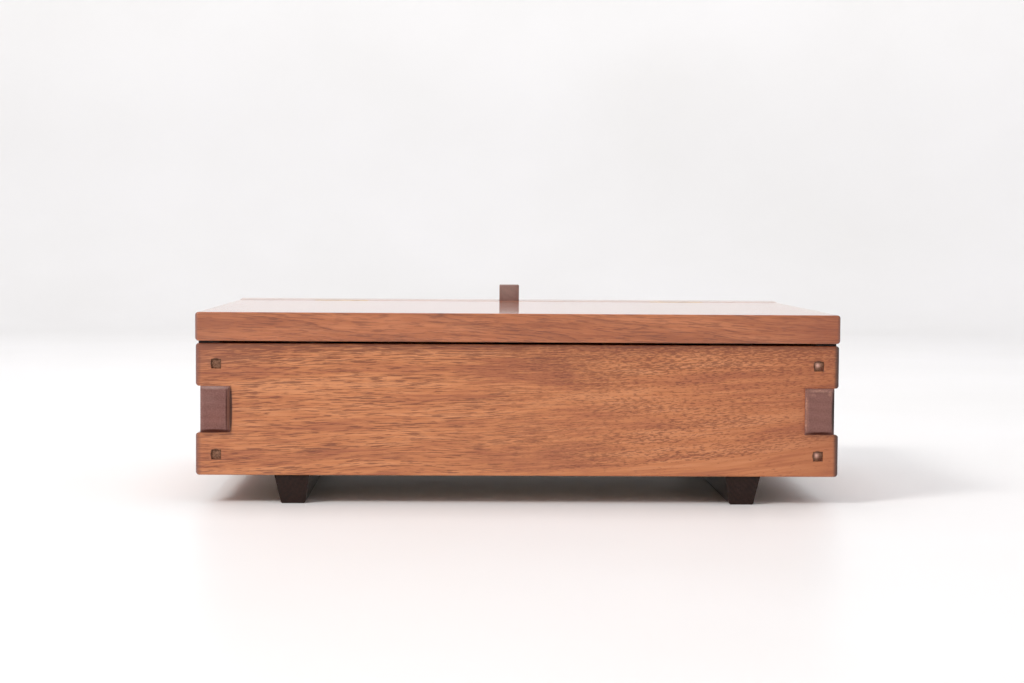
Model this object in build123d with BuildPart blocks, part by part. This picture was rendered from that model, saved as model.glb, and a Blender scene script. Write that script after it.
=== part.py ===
from build123d import *
import os
from math import cos, radians, tan

# A hardwood jewellery box with pinned finger joints, on two tapered runners, under a slab lid.
# Millimetres. X runs along the front, Y from the front to the back, Z up.
# The origin is on the floor, under the middle of the box.

os.makedirs("parts", exist_ok=True)

# Case: four boards on edge, joined at the corners by fingers
box_width = 350.0
box_depth = 240.0
case_height = 71.7
board_thickness = 16.0
finger_height = 25.2
finger_proud = 2.75
end_bevel = 1.9
end_round = 2.0
edge_round = 0.6
foot_round = 0.9
glue_line = 0.05

# Square pegs that lock the fingers
peg_size = 5.2
peg_inset = 11.2
peg_length = 30.0
peg_sunk = 0.9
peg_crown = 0.8
peg_tip = 0.6
peg_end_room = 1.0

# Bottom panel, let into grooves in the boards
panel_thickness = 6.0
panel_groove = 4.0
panel_above_edge = 6.0
panel_play = 0.3

# Runners under the case, tapered in section, with one screw up into each end board
runner_height = 15.4
runner_top_width = 19.1
runner_outer_taper = 3.7
runner_inner_taper = 2.3
runner_inset = 42.5
runner_setback = 1.4
runner_corner = 1.2
runner_screw_sunk = 4.0
runner_screw_length = 30.0
runner_screw_radius = 1.75
runner_screw_head = 3.4

# Lid: one slab between the front edge and the raised back board
lid_thickness = 15.6
lid_gap = 1.3
lid_back_gap = 1.0
back_rise = 0.7
back_ramp = 13.0
joint_round = 1.0
lid_open_angle = 100.0

# Cross battens that keep the lid flat
batten_width = 24.0
batten_thickness = 8.0
batten_inset = 57.0
batten_end_room = 9.0
batten_bevel = 2.0
batten_screw_inset = 24.0
batten_screw_length = 15.0
batten_screw_radius = 1.5
batten_screw_head = 3.0

# Stop key in the middle of the back board: the open lid leans on it
stop_width = 12.6
stop_thickness = 8.0
stop_above_lid = 10.7
stop_tenon = 14.0
stop_bevel = 0.5
stop_clearance = 0.25

# Butt hinges in the joint between the lid and the back board
hinge_length = 34.0
hinge_inset = 67.0
hinge_drop = 0.85
leaf_height = 12.0
leaf_thickness = 1.0
knuckle_radius = 1.05
knuckle_gap = 0.15
knuckle_room = 0.25
pin_radius = 0.5
pin_press = 0.01
pin_running = 0.05
hinge_screw_pitch = 11.0
hinge_screw_drop = 6.8
hinge_screw_length = 9.0
hinge_screw_radius = 1.0
hinge_screw_head = 1.85
screw_fit = 0.02
slot_share = 0.22

# Leather dots on the side boards that the lid comes down on
bumper_radius = 4.0
bumper_inset = 45.0
bumper_clearance = 0.1

# Felt on the bottom panel, and the dividers that stand on it
felt_thickness = 1.2
lining_play = 0.3
divider_thickness = 5.0
divider_height = 21.0
divider_fit = 0.15
bays_across = 3

# Till tray that slides from end to end on two ledges
ledge_width = 7.0
ledge_height = 6.0
tray_width = 150.0
tray_height = 20.0
tray_wall = 6.0
tray_base = 3.0
tray_rebate = 3.0
tray_play = 0.5
tray_slip = 0.2
tray_head_room = 1.5
tray_partition = 4.0
tray_felt = 1.0
roll_count = 5
roll_height = 13.5
roll_round = 7.0
roll_play = 0.35

# Heights that follow from these
case_bottom = runner_height
case_top = case_bottom + case_height
lid_bottom = case_top + lid_gap
lid_top = lid_bottom + lid_thickness
back_top = lid_top + back_rise
finger_low = case_bottom + (case_height - finger_height) / 2
finger_high = finger_low + finger_height
finger_middle = (finger_low + finger_high) / 2
lower_peg_z = case_bottom + peg_inset
upper_peg_z = case_top - peg_inset
panel_bottom = case_bottom + panel_above_edge
panel_top = panel_bottom + panel_thickness
felt_top = panel_top + felt_thickness
batten_bottom = lid_bottom - batten_thickness
tray_top = batten_bottom - tray_head_room
tray_bottom = tray_top - tray_height
ledge_top = tray_bottom - tray_slip

# Faces of the boards, from the middle outwards
front_face = -box_depth / 2 + finger_proud
front_inner = front_face + board_thickness
back_face = box_depth / 2 - finger_proud
back_inner = back_face - board_thickness
side_face = box_width / 2 - finger_proud
side_inner = side_face - board_thickness
side_middle = side_face - board_thickness / 2
end_middle = back_face - board_thickness / 2
peg_x = box_width / 2 - peg_inset
peg_y = box_depth / 2 - peg_inset
inner_width = 2 * side_inner
inner_depth = back_inner - front_inner

# Hinge line: just below the top of the lid, in the middle of the joint behind it
lid_front = -box_depth / 2
lid_back = back_inner - lid_back_gap
lid_depth = lid_back - lid_front
hinge_y = back_inner - lid_back_gap / 2
hinge_z = lid_top - hinge_drop
lean = radians(lid_open_angle - 90)
stop_top = lid_top + stop_above_lid


def save(piece, name):
    """Label a finished piece and write it to its own file."""
    piece.part.label = name
    export_step(piece.part, f"parts/{name}.step")


def facing(origin, outward, along=(1, 0, 0)):
    """Working plane on a face: its normal points out of the wood."""
    return Plane(origin=origin, x_dir=along, z_dir=outward)


def bore_square(frame):
    """Cut one square peg hole, from the face inwards."""
    with BuildSketch(frame) as hole:
        Rectangle(peg_size + 2 * glue_line, peg_size + 2 * glue_line)
    extrude(hole.sketch, amount=-(peg_length + peg_end_room), mode=Mode.SUBTRACT)


def bore_screw(frame, length, radius):
    """Cut the plain hole that a screw bites into, from the frame's plane inwards."""
    with BuildSketch(frame) as hole:
        Circle(radius + screw_fit)
    extrude(hole.sketch, amount=-length, mode=Mode.SUBTRACT)


def sink_screw(frame, depth, radius, head):
    """Cut a screw's clearance hole and the cone for its head, from the frame's plane inwards."""
    with Locations(frame):
        CounterSinkHole(radius + screw_fit, head + screw_fit, depth=depth, counter_sink_angle=90)


def drive_screw(frame, length, radius, head):
    """One slotted countersunk screw with its head's flat on the frame's plane."""
    section = Plane(origin=frame.origin, x_dir=frame.x_dir, z_dir=-frame.y_dir)
    cone = head - radius
    with BuildSketch(section) as half:
        with BuildLine():
            Polyline(
                (0, 0),
                (head, 0),
                (radius, -cone),
                (radius, radius - length),
                (0, -length),
                close=True,
            )
        make_face()
    revolve(half.sketch, axis=Axis(frame.origin, frame.z_dir))
    with BuildSketch(frame) as slot:
        Rectangle(2 * head, 2 * head * slot_share)
    extrude(slot.sketch, amount=-cone / 2, mode=Mode.SUBTRACT)


# Where the pegs go: a frame on the outside of a board for each
def end_peg_frames(face_y, outward):
    """Frames of the four pegs that go in through the front or the back board."""
    return [
        facing((x, face_y, z), (0, outward, 0))
        for x in (-peg_x, peg_x)
        for z in (lower_peg_z, upper_peg_z)
    ]


def side_peg_frames(side):
    """Frames of the two pegs that go in through a side board's fingers."""
    return [
        facing((side * side_face, y, finger_middle), (side, 0, 0), along=(0, 1, 0))
        for y in (-peg_y, peg_y)
    ]


front_pegs = end_peg_frames(front_face, -1)
back_pegs = end_peg_frames(back_face, 1)
left_pegs = side_peg_frames(-1)
right_pegs = side_peg_frames(1)

# Where the hinge screws go: one row in the lid's edge, one in the back board's face
hinge_middles = [hinge_inset - box_width / 2, box_width / 2 - hinge_inset]
hinge_screw_z = hinge_z - hinge_screw_drop


def hinge_screw_frames(middle, face_y, outward):
    """Frames of the three screws in one hinge leaf."""
    return [
        facing((middle + step * hinge_screw_pitch, face_y, hinge_screw_z), (0, outward, 0))
        for step in (-1, 0, 1)
    ]


def cut_leaf_seat(face_y, into):
    """Mortise for each hinge leaf and a round groove for its knuckles."""
    for middle in hinge_middles:
        with BuildSketch(Plane.XY.offset(hinge_z - leaf_height - glue_line)) as seat:
            with Locations((middle, face_y + into * leaf_thickness / 2)):
                Rectangle(hinge_length + 2 * glue_line, leaf_thickness + 2 * glue_line)
        extrude(seat.sketch, amount=leaf_height + hinge_drop + back_rise, mode=Mode.SUBTRACT)
        with BuildSketch(Plane.YZ.offset(middle - hinge_length / 2 - knuckle_room)) as groove:
            with Locations((hinge_y, hinge_z)):
                Circle(knuckle_radius + knuckle_room)
        extrude(groove.sketch, amount=hinge_length + 2 * knuckle_room, mode=Mode.SUBTRACT)
        for frame in hinge_screw_frames(middle, face_y, -into):
            bore_screw(frame, hinge_screw_length, hinge_screw_radius)


def cut_panel_groove(middle, length, width):
    """Groove in a board's inner face that takes an edge of the bottom panel."""
    with BuildSketch(Plane.XY.offset(panel_bottom - glue_line)) as groove:
        with Locations(middle):
            Rectangle(length, width)
    extrude(groove.sketch, amount=panel_thickness + 2 * glue_line, mode=Mode.SUBTRACT)


def soften_ends(board, axis):
    """Bevel every edge of the two extreme end faces along an axis."""
    ends = board.faces().filter_by(axis).group_by(axis)
    chamfer((ends[0] + ends[-1]).edges(), end_bevel)


def round_ends(board):
    """Round every edge of the end faces of a board that runs along X."""
    ends = board.faces().filter_by(Axis.X).group_by(Axis.X)
    fillet((ends[0] + ends[-1]).edges(), end_round)


def ease_edges(board, axis, across, outward):
    """Round the long outer edges of a board: a little at its top, more at its foot."""
    outer = board.edges().filter_by(axis).group_by(across)[-1 if outward > 0 else 0]
    by_height = outer.sort_by(Axis.Z)
    fillet(by_height[-1], edge_round)
    fillet(by_height[0], foot_round)


def round_joint_edge(board, face_y):
    """Round the edge that a board or the lid has along the top of the hinged joint."""
    along = board.edges().filter_by(Axis.X)
    fillet(along.sort_by_distance((0, face_y, lid_top))[0], joint_round)


# Front and back boards: full-width fingers above and below the side boards' fingers
runner_sole_middle = (
    box_width / 2
    - runner_inset
    - (runner_top_width + runner_outer_taper - runner_inner_taper) / 2
)
notch_length = box_width / 2 - side_inner
notch_x = side_inner + notch_length / 2


def ramp_down_to_lid():
    """Slope the back board's top down to the lid."""
    with BuildSketch(Plane.YZ.offset(-box_width / 2)) as wedge:
        with BuildLine():
            Polyline(
                (back_inner, lid_top),
                (back_inner + back_ramp, back_top),
                (back_inner, back_top),
                close=True,
            )
        make_face()
    extrude(wedge.sketch, amount=box_width, mode=Mode.SUBTRACT)


def end_board(inner_y, outward, top, pegs, cross_pegs):
    """A front or back board up to its top, with its notches, groove and peg holes."""
    height = top - case_bottom
    outer_y = inner_y + outward * board_thickness
    with BuildPart() as board:
        with BuildSketch(Plane.XZ.offset(-max(inner_y, outer_y))):
            with Locations((0, case_bottom + height / 2)):
                Rectangle(box_width, height)
            with Locations((-notch_x, finger_middle), (notch_x, finger_middle)):
                Rectangle(notch_length, finger_height + 2 * glue_line, mode=Mode.SUBTRACT)
        extrude(amount=board_thickness)
        if top > lid_top:
            ramp_down_to_lid()
        round_ends(board)
        ease_edges(board, Axis.X, Axis.Y, outward)
        if top > lid_top:
            round_joint_edge(board, back_inner)
        groove_y = inner_y + outward * panel_groove / 2
        cut_panel_groove((0, groove_y), inner_width + 2 * panel_groove, panel_groove)
        for frame in pegs + cross_pegs:
            bore_square(frame)
        for x in (-runner_sole_middle, runner_sole_middle):
            frame = facing((x, inner_y + outward * board_thickness / 2, 0), (0, 0, -1))
            bore_screw(frame, runner_screw_sunk + runner_screw_length, runner_screw_radius)
    return board


with BuildPart() as front_board:
    add(end_board(front_inner, -1, case_top, front_pegs, left_pegs + right_pegs).part)
save(front_board, "front_board")

with BuildPart() as back_board:
    add(end_board(back_inner, 1, back_top, back_pegs, left_pegs + right_pegs).part)
    cut_leaf_seat(back_inner, 1)
    leaning_y = hinge_y + (stop_top - hinge_z) * tan(lean) + hinge_drop / cos(lean)
    stop_front = leaning_y + stop_clearance / cos(lean)
    stop_foot = back_top - stop_tenon
    with BuildSketch(Plane.XY.offset(stop_foot - glue_line)):
        with Locations((0, stop_front + stop_thickness / 2)):
            Rectangle(stop_width + 2 * glue_line, stop_thickness + 2 * glue_line)
    extrude(amount=stop_tenon + glue_line, mode=Mode.SUBTRACT)
save(back_board, "back_board")


# Side boards: one proud finger at each end, between the fingers of the front and back boards
def side_board(side, pegs):
    """A left (-1) or right (1) board."""
    with BuildPart() as board:
        with BuildSketch(Plane.YZ.offset(min(side * side_face, side * side_inner))):
            with Locations((0, finger_middle)):
                Rectangle(box_depth, finger_height)
        extrude(amount=board_thickness)
        soften_ends(board, Axis.Y)
        with BuildSketch(Plane.YZ.offset(min(side * side_face, side * side_inner))):
            with Locations((0, case_bottom + case_height / 2)):
                Rectangle(inner_depth - 2 * glue_line, case_height)
        extrude(amount=board_thickness)
        ease_edges(board, Axis.Y, Axis.X, side)
        groove_x = side * (side_inner + panel_groove / 2)
        cut_panel_groove((groove_x, 0), panel_groove, inner_depth)
        for frame in front_pegs + back_pegs + pegs:
            bore_square(frame)
    return board


for side, side_name, pegs in ((-1, "left", left_pegs), (1, "right", right_pegs)):
    save(side_board(side, pegs), f"{side_name}_side_board")


# Pegs: square, with a low pyramid on the outer end, just below the board's face
def peg_group(frames):
    """All the pegs that go in from one side of the box."""
    with BuildPart() as pegs:
        for frame in frames:
            with BuildSketch(frame.offset(-peg_sunk)):
                Rectangle(peg_size, peg_size)
            extrude(amount=peg_sunk - peg_length)
            with BuildSketch(frame.offset(-peg_sunk)):
                Rectangle(peg_size, peg_size)
            with BuildSketch(frame.offset(peg_crown - peg_sunk)):
                Rectangle(peg_tip, peg_tip)
            loft()
    return pegs


save(peg_group(front_pegs), "corner_pegs_front")
save(peg_group(back_pegs), "corner_pegs_back")
save(peg_group(left_pegs), "corner_pegs_left")
save(peg_group(right_pegs), "corner_pegs_right")

# Bottom panel, free to move in its grooves
panel_width = inner_width + 2 * (panel_groove - panel_play)
panel_depth = inner_depth + 2 * (panel_groove - panel_play)
with BuildPart() as bottom_panel:
    with BuildSketch(Plane.XY.offset(panel_bottom)):
        Rectangle(panel_width, panel_depth)
    extrude(amount=panel_thickness)
save(bottom_panel, "bottom_panel")

with BuildPart() as bottom_lining:
    with BuildSketch(Plane.XY.offset(panel_top)):
        Rectangle(inner_width - 2 * lining_play, inner_depth - 2 * lining_play)
    extrude(amount=felt_thickness)
save(bottom_lining, "bottom_lining")


# Runners: a section that tapers to its sole, more on the outer side, from front to back
def runner_screw_frames(side):
    """Frames of the two screws in one runner, at the bottom of their pockets."""
    x = side * runner_sole_middle
    return [facing((x, y, runner_screw_sunk), (0, 0, -1)) for y in (-end_middle, end_middle)]


def runner(side):
    """One runner, with a pocket in its sole for each screw."""
    length = back_face - front_face - 2 * runner_setback
    outer_x = box_width / 2 - runner_inset
    inner_x = outer_x - runner_top_width
    with BuildPart() as bar:
        with BuildSketch(Plane.XZ.offset(-length / 2)):
            with BuildLine():
                Polyline(
                    (side * outer_x, runner_height),
                    (side * (outer_x - runner_outer_taper), 0),
                    (side * (inner_x + runner_inner_taper), 0),
                    (side * inner_x, runner_height),
                    close=True,
                )
            make_face()
        extrude(amount=length)
        sole = bar.faces().sort_by(Axis.Z)[0]
        fillet(sole.edges().filter_by(Axis.Y), runner_corner)
        for frame in runner_screw_frames(side):
            sink_screw(frame, runner_height, runner_screw_radius, runner_screw_head)
            with BuildSketch(Plane.XY):
                with Locations((frame.origin.X, frame.origin.Y)):
                    Circle(runner_screw_head + screw_fit)
            extrude(amount=runner_screw_sunk, mode=Mode.SUBTRACT)
    return bar


for side, side_name in ((-1, "left"), (1, "right")):
    save(runner(side), f"{side_name}_runner")

with BuildPart() as runner_screws:
    for side in (-1, 1):
        for frame in runner_screw_frames(side):
            drive_screw(frame, runner_screw_length, runner_screw_radius, runner_screw_head)
save(runner_screws, "runner_screws")


# Lid slab, with its hinge seats and the holes for the batten screws
batten_xs = [batten_inset - box_width / 2, box_width / 2 - batten_inset]
batten_front = front_inner + batten_end_room
batten_back = back_inner - batten_end_room
batten_length = batten_back - batten_front
batten_middle = (batten_front + batten_back) / 2


def batten_screw_frames(x):
    """Frames of the three screws that go up through one batten into the lid."""
    reach = batten_length / 2 - batten_screw_inset
    return [
        facing((x, batten_middle + step * reach, batten_bottom), (0, 0, -1)) for step in (-1, 0, 1)
    ]


with BuildPart() as lid_panel:
    with BuildSketch(Plane.XY.offset(lid_bottom)):
        with Locations((0, (lid_front + lid_back) / 2)):
            Rectangle(box_width, lid_depth)
    extrude(amount=lid_thickness)
    round_ends(lid_panel)
    round_joint_edge(lid_panel, lid_back)
    front_edges = lid_panel.edges().filter_by(Axis.X).group_by(Axis.Y)[0]
    fillet(front_edges, edge_round)
    cut_leaf_seat(lid_back, -1)
    for x in batten_xs:
        for frame in batten_screw_frames(x):
            bore_screw(frame, batten_screw_length, batten_screw_radius)
save(lid_panel, "lid_panel")


def lid_batten(x):
    """One batten across the grain of the lid, bevelled below."""
    with BuildPart() as batten:
        with BuildSketch(Plane.XY.offset(batten_bottom)):
            with Locations((x, batten_middle)):
                Rectangle(batten_width, batten_length)
        extrude(amount=batten_thickness)
        chamfer(batten.faces().sort_by(Axis.Z)[0].edges(), batten_bevel)
        for frame in batten_screw_frames(x):
            sink_screw(frame, batten_thickness, batten_screw_radius, batten_screw_head)
    return batten


for x, side_name in zip(batten_xs, ("left", "right")):
    save(lid_batten(x), f"{side_name}_lid_batten")

with BuildPart() as batten_screws:
    for x in batten_xs:
        for frame in batten_screw_frames(x):
            drive_screw(frame, batten_screw_length, batten_screw_radius, batten_screw_head)
save(batten_screws, "batten_screws")

# Stop key, glued in its mortise
with BuildPart() as lid_stop:
    with BuildSketch(Plane.XY.offset(stop_foot)):
        with Locations((0, stop_front + stop_thickness / 2)):
            Rectangle(stop_width, stop_thickness)
    extrude(amount=stop_top - stop_foot)
    chamfer(lid_stop.faces().sort_by(Axis.Z)[-1].edges(), stop_bevel)
save(lid_stop, "lid_stop")

# Hinges: knuckles on the hinge line, outer two on the back board's leaf and one on the lid's
knuckle_length = (hinge_length - 2 * knuckle_gap) / 3
leaf_head_room = knuckle_radius + knuckle_room


def leaf(middle, face_y, into, knuckles, bore):
    """One leaf with the knuckles that belong to it; the others' places are cut away."""
    with BuildPart() as plate:
        with BuildSketch(Plane.XY.offset(hinge_z - leaf_height)):
            with Locations((middle, face_y + into * leaf_thickness / 2)):
                Rectangle(hinge_length, leaf_thickness)
        extrude(amount=leaf_height - leaf_head_room)
        for step in knuckles:
            knuckle_x = middle + step * (knuckle_length + knuckle_gap)
            with BuildSketch(Plane.XY.offset(hinge_z - leaf_head_room)):
                with Locations((knuckle_x, face_y + into * leaf_thickness / 2)):
                    Rectangle(knuckle_length, leaf_thickness)
            extrude(amount=leaf_head_room)
            with BuildSketch(Plane.YZ.offset(knuckle_x - knuckle_length / 2)):
                with Locations((hinge_y, hinge_z)):
                    Circle(knuckle_radius)
            extrude(amount=knuckle_length)
        with BuildSketch(Plane.YZ.offset(middle - hinge_length / 2)):
            with Locations((hinge_y, hinge_z)):
                Circle(pin_radius + bore)
        extrude(amount=hinge_length, mode=Mode.SUBTRACT)
        for frame in hinge_screw_frames(middle, face_y, -into):
            sink_screw(frame, leaf_thickness, hinge_screw_radius, hinge_screw_head)
    return plate


def hinge_pin(middle):
    """The pin, as long as the hinge."""
    with BuildPart() as pin:
        with BuildSketch(Plane.YZ.offset(middle - hinge_length / 2)):
            with Locations((hinge_y, hinge_z)):
                Circle(pin_radius)
        extrude(amount=hinge_length)
    return pin


def hinge_screws(middle, face_y, outward):
    """The three screws of one leaf."""
    with BuildPart() as screws:
        for frame in hinge_screw_frames(middle, face_y, outward):
            drive_screw(frame, hinge_screw_length, hinge_screw_radius, hinge_screw_head)
    return screws


for middle, side_name in zip(hinge_middles, ("left", "right")):
    save(leaf(middle, back_inner, 1, (-1, 1), pin_press), f"{side_name}_hinge_case_leaf")
    save(leaf(middle, lid_back, -1, (0,), pin_running), f"{side_name}_hinge_lid_leaf")
    save(hinge_pin(middle), f"{side_name}_hinge_pin")
    save(hinge_screws(middle, back_inner, -1), f"{side_name}_hinge_case_screws")
    save(hinge_screws(middle, lid_back, 1), f"{side_name}_hinge_lid_screws")

# Leather dots under the lid
with BuildPart() as lid_bumpers:
    with BuildSketch(Plane.XY.offset(case_top)):
        with GridLocations(2 * side_middle, box_depth - 2 * bumper_inset, 2, 2):
            Circle(bumper_radius)
    extrude(amount=lid_gap - bumper_clearance)
save(lid_bumpers, "lid_bumpers")

# Lower dividers: one along the box and two across it, half-lapped where they cross
bay_pitch = inner_width / bays_across
divider_xs = [-side_inner + bay_pitch * bay for bay in range(1, bays_across)]
half_lap = divider_height / 2
lap_width = divider_thickness + 2 * divider_fit

with BuildPart() as long_divider:
    with BuildSketch(Plane.XY.offset(felt_top)):
        Rectangle(inner_width - 2 * divider_fit, divider_thickness)
    extrude(amount=divider_height)
    with BuildSketch(Plane.XY.offset(felt_top + half_lap)):
        with Locations([(x, 0) for x in divider_xs]):
            Rectangle(lap_width, divider_thickness)
    extrude(amount=divider_height - half_lap, mode=Mode.SUBTRACT)
save(long_divider, "long_divider")


def cross_divider(x):
    """One divider from front to back, lapped over the long one."""
    with BuildPart() as divider:
        with BuildSketch(Plane.XY.offset(felt_top)):
            with Locations((x, 0)):
                Rectangle(divider_thickness, inner_depth - 2 * divider_fit)
        extrude(amount=divider_height)
        with BuildSketch(Plane.XY.offset(felt_top)):
            with Locations((x, 0)):
                Rectangle(divider_thickness, lap_width)
        extrude(amount=half_lap, mode=Mode.SUBTRACT)
    return divider


for number, x in enumerate(divider_xs, start=1):
    save(cross_divider(x), f"cross_divider_{number}")


# Ledges that the tray slides on
def tray_ledge(inner_y, inward):
    """One ledge, glued along a board's inner face."""
    with BuildPart() as ledge:
        with BuildSketch(Plane.XY.offset(ledge_top - ledge_height)):
            with Locations((0, inner_y + inward * (glue_line + ledge_width / 2))):
                Rectangle(inner_width - 2 * glue_line, ledge_width)
        extrude(amount=ledge_height)
    return ledge


save(tray_ledge(front_inner, 1), "front_tray_ledge")
save(tray_ledge(back_inner, -1), "back_tray_ledge")

# Tray, parked at the left end of the box
tray_left = -side_inner + tray_play
tray_right = tray_left + tray_width
tray_middle = (tray_left + tray_right) / 2
tray_depth = inner_depth - 2 * tray_play
tray_inner_width = tray_width - 2 * tray_wall
tray_inner_depth = tray_depth - 2 * tray_wall
tray_floor = tray_bottom + tray_base


def tray_rebate_cut():
    """Rebate round the inside of the walls for the tray's base."""
    with BuildSketch(Plane.XY.offset(tray_bottom)) as rebate:
        with Locations((tray_middle, 0)):
            Rectangle(tray_inner_width + 2 * tray_rebate, tray_inner_depth + 2 * tray_rebate)
    extrude(rebate.sketch, amount=tray_base, mode=Mode.SUBTRACT)


def tray_wall_piece(x, y, width, depth):
    """One wall of the tray."""
    with BuildPart() as wall:
        with BuildSketch(Plane.XY.offset(tray_bottom)):
            with Locations((x, y)):
                Rectangle(width, depth)
        extrude(amount=tray_height)
        tray_rebate_cut()
        fillet(wall.faces().sort_by(Axis.Z)[-1].edges().filter_by(Axis.X if y else Axis.Y), edge_round)
    return wall


wall_y = (tray_depth - tray_wall) / 2
wall_x = (tray_width - tray_wall) / 2
short_wall = tray_inner_depth - 2 * glue_line
save(tray_wall_piece(tray_middle, -wall_y, tray_width, tray_wall), "tray_front_wall")
save(tray_wall_piece(tray_middle, wall_y, tray_width, tray_wall), "tray_back_wall")
save(tray_wall_piece(tray_middle - wall_x, 0, tray_wall, short_wall), "tray_left_wall")
save(tray_wall_piece(tray_middle + wall_x, 0, tray_wall, short_wall), "tray_right_wall")

rebate_room = tray_rebate - glue_line
with BuildPart() as tray_base_panel:
    with BuildSketch(Plane.XY.offset(tray_bottom)):
        with Locations((tray_middle, 0)):
            Rectangle(tray_inner_width + 2 * rebate_room, tray_inner_depth + 2 * rebate_room)
    extrude(amount=tray_base)
save(tray_base_panel, "tray_base")

# Partitions of the tray: one across it, one that halves the front
partition_height = tray_height - tray_base - edge_round
front_bay_depth = (tray_inner_depth - tray_partition) / 2
front_bay_middle = -(tray_partition + front_bay_depth) / 2

with BuildPart() as tray_cross_partition:
    with BuildSketch(Plane.XY.offset(tray_floor)):
        with Locations((tray_middle, 0)):
            Rectangle(tray_inner_width - 2 * glue_line, tray_partition)
    extrude(amount=partition_height)
save(tray_cross_partition, "tray_cross_partition")

with BuildPart() as tray_short_partition:
    with BuildSketch(Plane.XY.offset(tray_floor)):
        with Locations((tray_middle, front_bay_middle)):
            Rectangle(tray_partition, front_bay_depth - 2 * glue_line)
    extrude(amount=partition_height)
save(tray_short_partition, "tray_short_partition")

# Felt in the tray's two front bays
bay_width = (tray_inner_width - tray_partition) / 2
bay_x = (tray_partition + bay_width) / 2
for side, side_name in ((-1, "left"), (1, "right")):
    with BuildPart() as tray_lining:
        with BuildSketch(Plane.XY.offset(tray_floor)):
            with Locations((tray_middle + side * bay_x, front_bay_middle)):
                Rectangle(bay_width - 2 * lining_play, front_bay_depth - 2 * lining_play)
        extrude(amount=tray_felt)
    save(tray_lining, f"tray_{side_name}_lining")

# Padded ring rolls, side by side in the tray's back bay
roll_pitch = front_bay_depth / roll_count
roll_depth = roll_pitch - roll_play
for index in range(roll_count):
    roll_y = tray_partition / 2 + roll_pitch * (index + 0.5)
    with BuildPart() as ring_roll:
        with BuildSketch(Plane.YZ.offset(tray_middle - tray_inner_width / 2 + roll_play)):
            with Locations((roll_y, tray_floor + roll_height / 2)):
                Rectangle(roll_depth, roll_height)
        extrude(amount=tray_inner_width - 2 * roll_play)
        fillet(ring_roll.faces().sort_by(Axis.Z)[-1].edges().filter_by(Axis.X), roll_round)
    save(ring_roll, f"ring_roll_{index + 1}")
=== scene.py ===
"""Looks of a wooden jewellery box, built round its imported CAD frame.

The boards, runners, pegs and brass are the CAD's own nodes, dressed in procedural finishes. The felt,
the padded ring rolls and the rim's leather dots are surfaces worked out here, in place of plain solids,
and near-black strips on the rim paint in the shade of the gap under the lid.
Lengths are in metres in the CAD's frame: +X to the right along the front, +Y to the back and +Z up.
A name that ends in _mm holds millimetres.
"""

import logging
import math
from collections.abc import Mapping, Sequence
from dataclasses import dataclass, field
from enum import Enum

import bpy
import numpy as np
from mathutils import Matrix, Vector


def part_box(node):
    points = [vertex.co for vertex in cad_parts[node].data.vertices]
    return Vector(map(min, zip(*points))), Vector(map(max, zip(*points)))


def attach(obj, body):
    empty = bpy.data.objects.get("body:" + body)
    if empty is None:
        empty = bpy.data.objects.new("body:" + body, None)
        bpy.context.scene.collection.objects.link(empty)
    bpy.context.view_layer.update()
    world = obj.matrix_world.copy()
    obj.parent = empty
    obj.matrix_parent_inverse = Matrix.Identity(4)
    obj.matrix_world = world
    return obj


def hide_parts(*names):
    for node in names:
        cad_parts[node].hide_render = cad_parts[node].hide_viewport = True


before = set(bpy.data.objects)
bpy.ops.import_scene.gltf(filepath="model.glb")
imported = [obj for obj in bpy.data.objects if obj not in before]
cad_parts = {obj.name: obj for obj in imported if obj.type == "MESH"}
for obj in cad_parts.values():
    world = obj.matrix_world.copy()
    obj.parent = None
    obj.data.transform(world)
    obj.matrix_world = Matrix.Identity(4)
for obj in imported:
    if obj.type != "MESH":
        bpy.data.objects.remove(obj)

MM = 0.001
LOG = logging.getLogger("jewellery_box")

Colour = tuple[float, float, float, float]
Triple = tuple[float, float, float]
Socket = bpy.types.NodeSocket
Tree = bpy.types.NodeTree


# Helpers that every finish and piece uses


def linear(hex_colour: str) -> Colour:
    """Turns an sRGB colour into the linear one that shaders use.

    Args:
        hex_colour: the colour as "#rrggbb".

    Returns:
        Linear red, green and blue, and an alpha of 1.
    """
    channels = (int(hex_colour[i : i + 2], 16) / 255 for i in (1, 3, 5))
    red, green, blue = (
        c / 12.92 if c <= 0.04045 else ((c + 0.055) / 1.055) ** 2.4 for c in channels
    )
    return red, green, blue, 1.0


def add_node(
    tree: Tree,
    kind: str,
    settings: Mapping[str, object] | None = None,
    inputs: Mapping[str | int, object] | None = None,
) -> bpy.types.Node:
    """Adds one node with its settings and links.

    Args:
        tree: the node tree that gets it.
        kind: the node's type without its "ShaderNode" prefix.
        settings: its properties, by name. "stops" fills a colour ramp with (place, colour) pairs.
        inputs: by socket name or number, a value or another node's output socket.

    Returns:
        The new node.
    """
    node = tree.nodes.new("ShaderNode" + kind)
    for name, value in (settings or {}).items():
        if name == "stops":
            fill_ramp(node, value)
        else:
            setattr(node, name, value)
    for key, value in (inputs or {}).items():
        if isinstance(value, Socket):
            tree.links.new(value, node.inputs[key])
        else:
            node.inputs[key].default_value = value
    return node


def fill_ramp(node: bpy.types.Node, stops: Sequence[tuple[float, Colour]]) -> None:
    """Puts (place, colour) stops, in rising order, into a colour ramp.

    Args:
        node: the ramp's node.
        stops: at least two pairs of a place from 0 to 1 and a linear colour.
    """
    elements = node.color_ramp.elements
    while len(elements) < len(stops):
        elements.new(0.5)
    for element, (place, colour) in zip(elements, stops):
        element.position = place
        element.color = colour


def grey(value: float) -> Colour:
    """A linear grey of that value."""
    return value, value, value, 1.0


def blank_material(name: str) -> tuple[bpy.types.Material, Tree]:
    """Makes a material whose node tree is empty.

    Args:
        name: the material's name.

    Returns:
        The material and its tree.
    """
    material = bpy.data.materials.new(name)
    material.use_nodes = True
    material.node_tree.nodes.clear()
    return material, material.node_tree


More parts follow.
